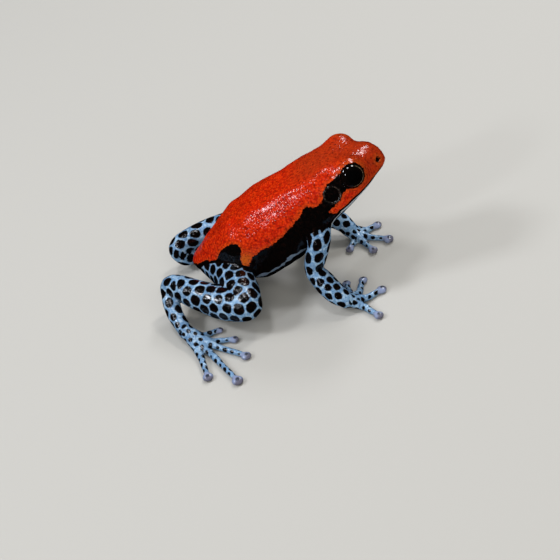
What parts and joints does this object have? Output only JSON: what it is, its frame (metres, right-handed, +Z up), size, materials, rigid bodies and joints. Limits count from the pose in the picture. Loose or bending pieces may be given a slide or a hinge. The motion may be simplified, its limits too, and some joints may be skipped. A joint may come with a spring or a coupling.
{
  "type": "reticulated poison frog",
  "caption": "Life-size still model of a reticulated poison frog, sitting up on its hands and feet, with red back and blue, black-spotted legs.",
  "frame": {"origin": "middle of the base of the frog's box, on the floor it sits on", "axes": "+X towards the snout, +Y to the frog's left, +Z up"},
  "size_m": [0.0173, 0.0206, 0.01],
  "materials": {
    "red_skin": "moist, finely granular red skin, black along the flank",
    "throat_skin": "moist pale grey-blue skin of the lower jaw and throat",
    "blue_net_skin": "moist skin, pale blue net round rounded black spots",
    "ear_skin": "thin taut black skin of the eardrum",
    "eye": "wet glossy black eye with a thin bronze ring"
  },
  "bodies": {
    "root": {"torso": "red_skin", "head": "red_skin", "lower_jaw": "throat_skin", "eye_left": "eye", "eye_right": "eye", "eardrum_left": "ear_skin", "eardrum_right": "ear_skin", "upper_arm_left": "blue_net_skin", "forearm_left": "blue_net_skin", "hand_left": "blue_net_skin", "thigh_left": "blue_net_skin", "shank_left": "blue_net_skin", "tarsus_left": "blue_net_skin", "foot_left": "blue_net_skin", "upper_arm_right": "blue_net_skin", "forearm_right": "blue_net_skin", "hand_right": "blue_net_skin", "thigh_right": "blue_net_skin", "shank_right": "blue_net_skin", "tarsus_right": "blue_net_skin", "foot_right": "blue_net_skin"}
  },
  "joints": []
}
